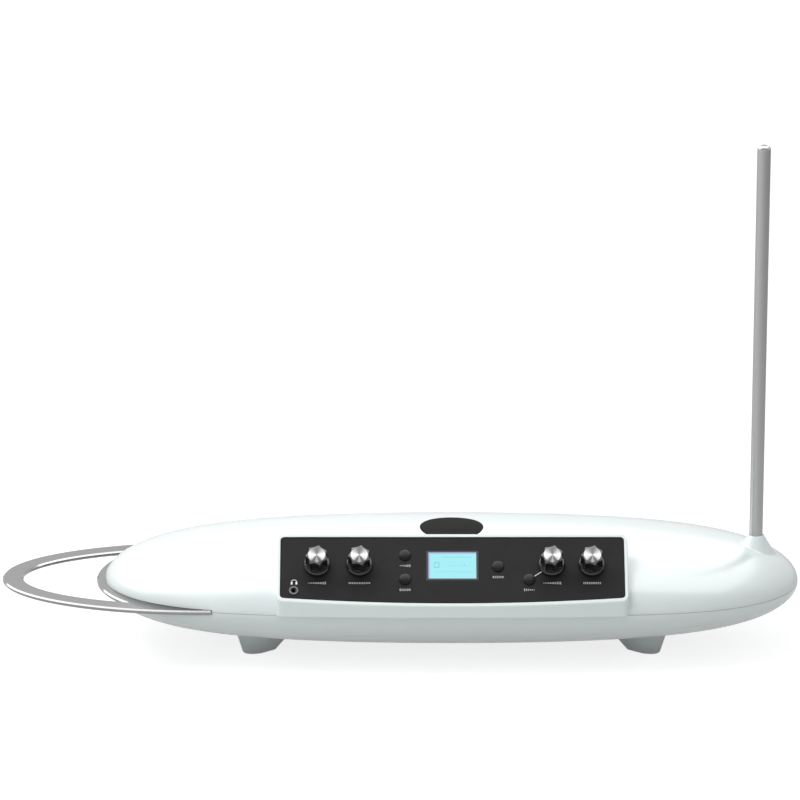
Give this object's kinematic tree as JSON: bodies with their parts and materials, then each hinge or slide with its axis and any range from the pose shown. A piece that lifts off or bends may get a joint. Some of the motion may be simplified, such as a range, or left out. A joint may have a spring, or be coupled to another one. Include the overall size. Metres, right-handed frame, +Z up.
{
  "type": "theremin",
  "caption": "Desktop theremin with a boat-shaped plastic housing, sloping front panel with knobs, buttons and a display, flat loop volume antenna and upright rod pitch antenna.",
  "frame": {"origin": "centre of the mouth of the stand socket, on the underside of the housing", "axes": "+X towards the rod antenna, -Y towards the player (the sloping panel faces -Y and up), +Z up out of the crown"},
  "size_m": [0.7114, 0.2208, 0.4564],
  "materials": {
    "white_gloss": "white glossy moulding",
    "panel_grey": "fine matt dark grey",
    "knob_black": "satin black moulding",
    "cap_grey": "satin grey",
    "spun_aluminium": "spun face",
    "steel": "plated",
    "black_moulding": "plain black moulding",
    "button_black": "soft gloss black",
    "display_glass": "clear over a pale blue-green display",
    "module_frame": "lit display",
    "board_green": "green solder mask",
    "ring_grey": "plain grey",
    "badge_dark": "plain dark disc",
    "antenna_metal": "satin grey",
    "nickel": "nickel plated",
    "foot_rubber": "matt grey",
    "speaker_frame": "black paint",
    "speaker_paper": "pressed paper pulp"
  },
  "bodies": {
    "housing": {"amount_potentiometer": "black_moulding", "antenna_ferrule": "nickel", "audio_jack_left": "black_moulding", "audio_jack_right": "black_moulding", "badge": "badge_dark", "board_screws": "steel", "bottom_shell": "white_gloss", "case_screws": "steel", "control_board": "board_green", "display_module": "module_frame", "display_window": "display_glass", "foot_front_left": "foot_rubber", "foot_front_right": "foot_rubber", "foot_rear_left": "foot_rubber", "foot_rear_right": "foot_rubber", "front_panel": "panel_grey", "headphone_jack": "black_moulding", "headphone_ring": "ring_grey", "jack_nuts": "steel", "main_board": "board_green", "pitch_cv_jack": "black_moulding", "pitch_potentiometer": "black_moulding", "power_inlet": "black_moulding", "power_switch": "black_moulding", "preset_encoder": "black_moulding", "processor": "black_moulding", "rear_plate": "black_moulding", "shaft_nuts": "steel", "speaker": "speaker_frame", "speaker_cone": "speaker_paper", "stand_socket": "nickel", "tact_switches": "black_moulding", "top_shell": "white_gloss", "usb_socket": "nickel", "volume_antenna": "antenna_metal", "volume_potentiometer": "black_moulding"},
    "volume_control": {"volume_knob": "knob_black", "volume_knob_cap": "cap_grey", "volume_knob_disc": "spun_aluminium", "volume_shaft": "steel"},
    "pitch_control": {"pitch_knob": "knob_black", "pitch_knob_cap": "cap_grey", "pitch_knob_disc": "spun_aluminium", "pitch_shaft": "steel"},
    "amount_control": {"amount_knob": "knob_black", "amount_knob_cap": "cap_grey", "amount_knob_disc": "spun_aluminium", "amount_shaft": "steel"},
    "preset_control": {"preset_knob": "knob_black", "preset_knob_cap": "cap_grey", "preset_knob_disc": "spun_aluminium", "preset_shaft": "steel"},
    "scale_key": {"scale_button": "button_black"},
    "root_key": {"root_button": "button_black"},
    "setup_key": {"setup_button": "button_black"},
    "delay_key": {"delay_button": "button_black"},
    "power_key": {"power_button": "black_moulding"},
    "rod": {"pitch_antenna": "antenna_metal"}
  },
  "joints": [
    {"name": "volume_turn", "type": "hinge", "parent": "housing", "child": "volume_control", "pos_m": [-0.11858, -0.08336, 0.09001], "axis": [0, -0.7071, 0.7071], "range_deg": [-150, 150]},
    {"name": "pitch_turn", "type": "hinge", "parent": "housing", "child": "pitch_control", "pos_m": [-0.0814, -0.08336, 0.09001], "axis": [0, -0.7071, 0.7071], "range_deg": [-150, 150]},
    {"name": "amount_turn", "type": "hinge", "parent": "housing", "child": "amount_control", "pos_m": [0.08719, -0.08336, 0.09001], "axis": [0, -0.7071, 0.7071], "range_deg": [-150, 150]},
    {"name": "preset_turn", "type": "hinge", "parent": "housing", "child": "preset_control", "pos_m": [0.1222, -0.08336, 0.09001], "axis": [0, -0.7071, 0.7071], "continuous": true},
    {"name": "scale_press", "type": "slide", "parent": "housing", "child": "scale_key", "axis": [0, 0.7071, -0.7071], "range_m": [0, 0.0008], "stiffness_N_per_m": 800},
    {"name": "root_press", "type": "slide", "parent": "housing", "child": "root_key", "axis": [0, 0.7071, -0.7071], "range_m": [0, 0.0008], "stiffness_N_per_m": 800},
    {"name": "setup_press", "type": "slide", "parent": "housing", "child": "setup_key", "axis": [0, 0.7071, -0.7071], "range_m": [0, 0.0008], "stiffness_N_per_m": 800},
    {"name": "delay_press", "type": "slide", "parent": "housing", "child": "delay_key", "axis": [0, 0.7071, -0.7071], "range_m": [0, 0.0008], "stiffness_N_per_m": 800},
    {"name": "power_press", "type": "slide", "parent": "housing", "child": "power_key", "axis": [0, -1, 0], "range_m": [0, 0.002], "stiffness_N_per_m": 600},
    {"name": "pitch_antenna_lift", "type": "slide", "parent": "housing", "child": "rod", "axis": [0, 0, 1], "range_m": [0, 0.022]}
  ]
}
